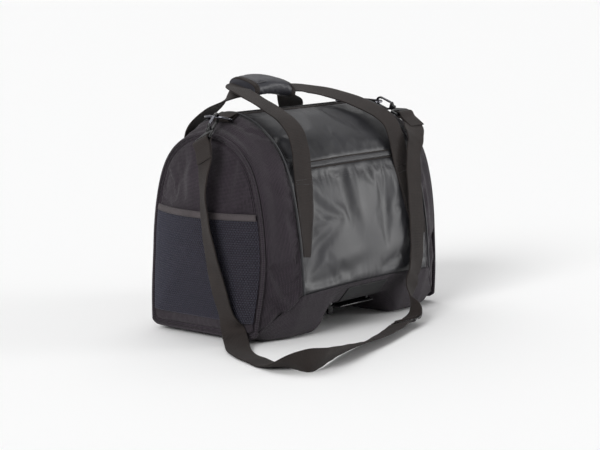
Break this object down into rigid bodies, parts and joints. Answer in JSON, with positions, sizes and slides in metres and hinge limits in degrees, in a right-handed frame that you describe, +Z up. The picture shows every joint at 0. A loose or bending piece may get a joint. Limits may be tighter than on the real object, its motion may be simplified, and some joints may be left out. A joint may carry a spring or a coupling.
{
  "type": "bicycle duffle bag",
  "caption": "Round-topped duffle bag that rides across a bicycle rack, with webbing handles, padded grip, mesh end pocket, rings, snap hooks, shoulder strap and base adapter.",
  "frame": {"origin": "middle of the rack adapter's underside, where the bicycle rack carries the bag", "axes": "+X along the bag, -Y towards the front with the zipped pocket, +Z up; the ground that the bag stands on is 30 mm below the origin"},
  "size_m": [0.6064, 0.4576, 0.4035],
  "materials": {
    "tarpaulin": "coated, satin",
    "polyester": "plain weave, matt",
    "webbing": "ribbed, matt",
    "netting": "open mesh, matt",
    "black_plastic": "gloss",
    "blackened_steel": "gloss"
  },
  "bodies": {
    "bag": {"adapter_plate": "black_plastic", "back_handle": "webbing", "back_panel": "tarpaulin", "base_panel": "polyester", "base_patch": "tarpaulin", "far_end_panel": "polyester", "far_end_piping": "polyester", "far_gusset": "polyester", "far_hook": "black_plastic", "far_ring": "blackened_steel", "far_ring_tab": "webbing", "far_seam_piping": "tarpaulin", "far_swivel_eye": "black_plastic", "front_handle": "webbing", "front_panel": "tarpaulin", "handle_grip": "polyester", "main_zip_coil": "black_plastic", "main_zip_pull": "webbing", "main_zip_slider": "blackened_steel", "main_zip_tape": "webbing", "mesh_pocket": "netting", "near_end_panel": "polyester", "near_end_piping": "polyester", "near_gusset": "polyester", "near_hook": "black_plastic", "near_ring": "blackened_steel", "near_ring_tab": "webbing", "near_seam_piping": "tarpaulin", "near_swivel_eye": "black_plastic", "pocket_hem": "webbing", "pocket_zip_cover": "webbing", "rack_latch": "black_plastic", "shoulder_strap": "webbing", "strap_slider": "black_plastic"},
    "near_gate": {"near_hook_gate": "blackened_steel"},
    "far_gate": {"far_hook_gate": "blackened_steel"},
    "lever": {"release_lever": "black_plastic"}
  },
  "joints": [
    {"name": "near_gate_hinge", "type": "hinge", "parent": "bag", "child": "near_gate", "pos_m": [-0.23302, -0.01353, 0.31043], "axis": [-0.2309, 0.9709, 0.0638], "range_deg": [0, 22], "stiffness_Nm_per_rad": 0.004, "springref_deg": -11.46},
    {"name": "far_gate_hinge", "type": "hinge", "parent": "bag", "child": "far_gate", "pos_m": [0.19115, -0.04653, 0.31704], "axis": [-0.9982, 0, -0.0599], "range_deg": [0, 22], "stiffness_Nm_per_rad": 0.004, "springref_deg": -11.46},
    {"name": "lever_hinge", "type": "hinge", "parent": "bag", "child": "lever", "pos_m": [0, -0.1044, 0.0044], "axis": [1, 0, 0], "range_deg": [0, 20], "stiffness_Nm_per_rad": 0.15, "springref_deg": -6.88}
  ]
}
